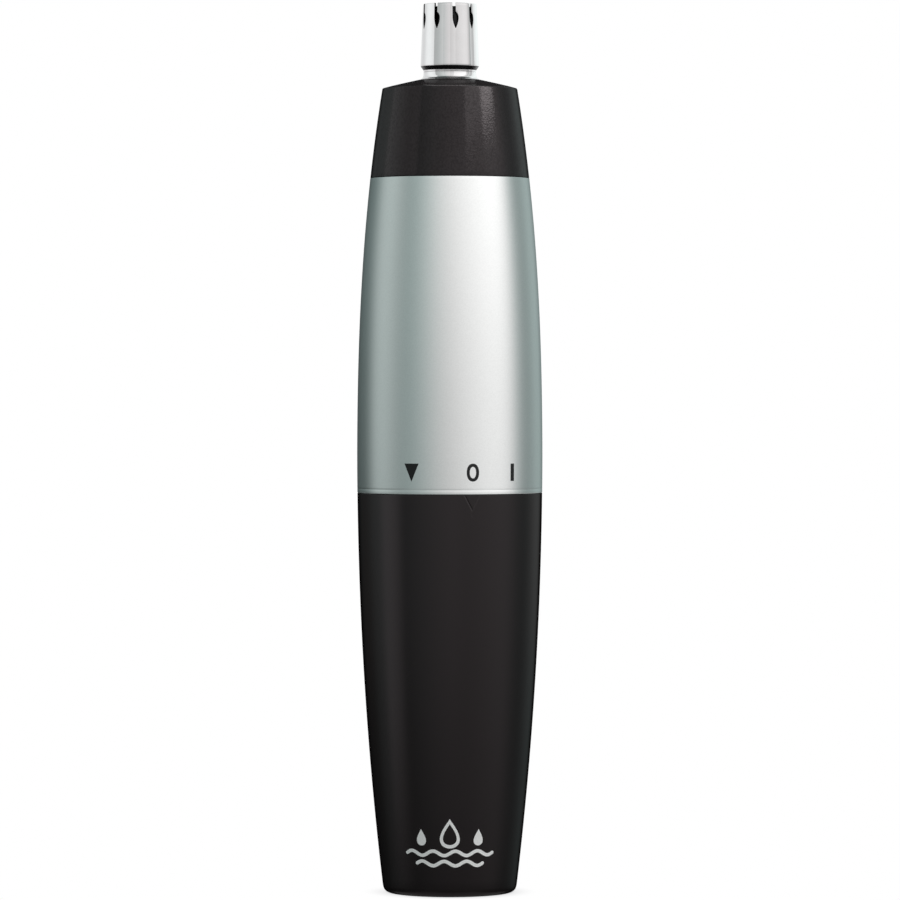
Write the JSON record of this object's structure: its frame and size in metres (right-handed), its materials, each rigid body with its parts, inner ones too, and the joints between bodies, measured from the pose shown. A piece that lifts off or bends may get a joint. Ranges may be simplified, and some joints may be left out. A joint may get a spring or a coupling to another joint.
{
  "type": "nose hair trimmer",
  "caption": "Pen-shaped battery trimmer: tapered barrel that twists to switch on, motor inside, push-on head with a rotary cutter turning in a slotted tube.",
  "frame": {"origin": "centre of the flat base, on the trimmer's axis", "axes": "+Z along the axis towards the cutter; -Y towards the switch marks, +X to the viewer's right"},
  "size_m": [0.0282, 0.0282, 0.1349],
  "materials": {
    "satin_silver": "satin",
    "soft_touch_black": "matte",
    "satin_black": "satin",
    "polished_chrome": "polished",
    "white_plastic": "satin",
    "grey_plastic": "matte",
    "acetal": "satin",
    "rubber": "matte",
    "steel": "satin",
    "spring_steel": "satin",
    "laminated_iron": "matte",
    "ferrite": "matte",
    "copper": "satin",
    "brass": "satin",
    "plated_contact": "gloss",
    "cell_jacket": "gloss",
    "red_insulation": "gloss",
    "black_insulation": "gloss"
  },
  "bodies": {
    "upper_body": {"barrel_sleeve": "satin_silver", "motor_chassis": "white_plastic", "head_socket": "grey_plastic", "barrel_o_ring": "rubber", "ring_retainer": "spring_steel", "detent_washer": "spring_steel", "motor_can": "steel", "motor_end_cap": "white_plastic", "motor_magnet_right": "ferrite", "motor_magnet_left": "ferrite", "motor_rear_bush": "brass", "motor_front_bush": "brass", "motor_brush_positive": "copper", "motor_brush_negative": "copper", "motor_damper": "rubber", "shaft_seal": "rubber", "motor_screw_right": "steel", "motor_screw_left": "steel", "socket_screw_front": "steel", "socket_screw_rear": "steel", "positive_contact": "plated_contact", "switch_contact": "brass", "lead_wire_positive": "red_insulation", "lead_wire_negative": "black_insulation"},
    "rotor": {"motor_shaft": "steel", "armature_core": "laminated_iron", "armature_windings": "copper", "commutator": "copper", "drive_dog": "acetal"},
    "head": {"head_collar": "satin_black", "head_core": "grey_plastic", "head_o_ring": "rubber", "neck_ring": "polished_chrome", "cutter_sleeve": "polished_chrome", "sleeve_circlip": "spring_steel", "spindle_bush_lower": "brass", "spindle_bush_upper": "brass"},
    "spindle": {"spindle": "steel", "spindle_cup": "acetal", "spindle_circlip": "spring_steel", "spring_washer": "spring_steel", "cutter_spring": "spring_steel", "cutter_clip": "spring_steel"},
    "inner_cutter": {"inner_cutter": "steel"},
    "switch_ring": {"switch_ring": "acetal"},
    "lower_barrel": {"lower_barrel": "soft_touch_black", "battery_cell": "cell_jacket", "battery_positive_cap": "plated_contact", "negative_contact_plate": "plated_contact", "negative_spring": "spring_steel", "contact_strip": "brass"}
  },
  "joints": [
    {"name": "motor_spin", "type": "hinge", "parent": "upper_body", "child": "rotor", "pos_m": [0, 0, 0.0775], "axis": [0, 0, 1], "continuous": true},
    {"name": "switch_twist", "type": "hinge", "parent": "upper_body", "child": "switch_ring", "pos_m": [0, 0, 0.057], "axis": [0, 0, 1], "range_deg": [-38.8, 28.1]},
    {"name": "barrel_pull", "type": "slide", "parent": "switch_ring", "child": "lower_barrel", "axis": [0, 0, -1], "range_m": [0, 0.07]},
    {"name": "head_pull", "type": "slide", "parent": "upper_body", "child": "head", "axis": [0, 0, 1], "range_m": [0, 0.03]},
    {"name": "cutter_spin", "type": "hinge", "parent": "head", "child": "spindle", "pos_m": [0, 0, 0.115], "axis": [0, 0, 1], "continuous": true},
    {"name": "cutter_float", "type": "slide", "parent": "spindle", "child": "inner_cutter", "axis": [0, 0, -1], "range_m": [0, 0.0006], "stiffness_N_per_m": 300, "springref_m": -0.003, "deforming": ["cutter_spring"]}
  ],
  "couplings": [
    {"joint": "cutter_spin", "follows": "motor_spin", "ratio": 1}
  ]
}
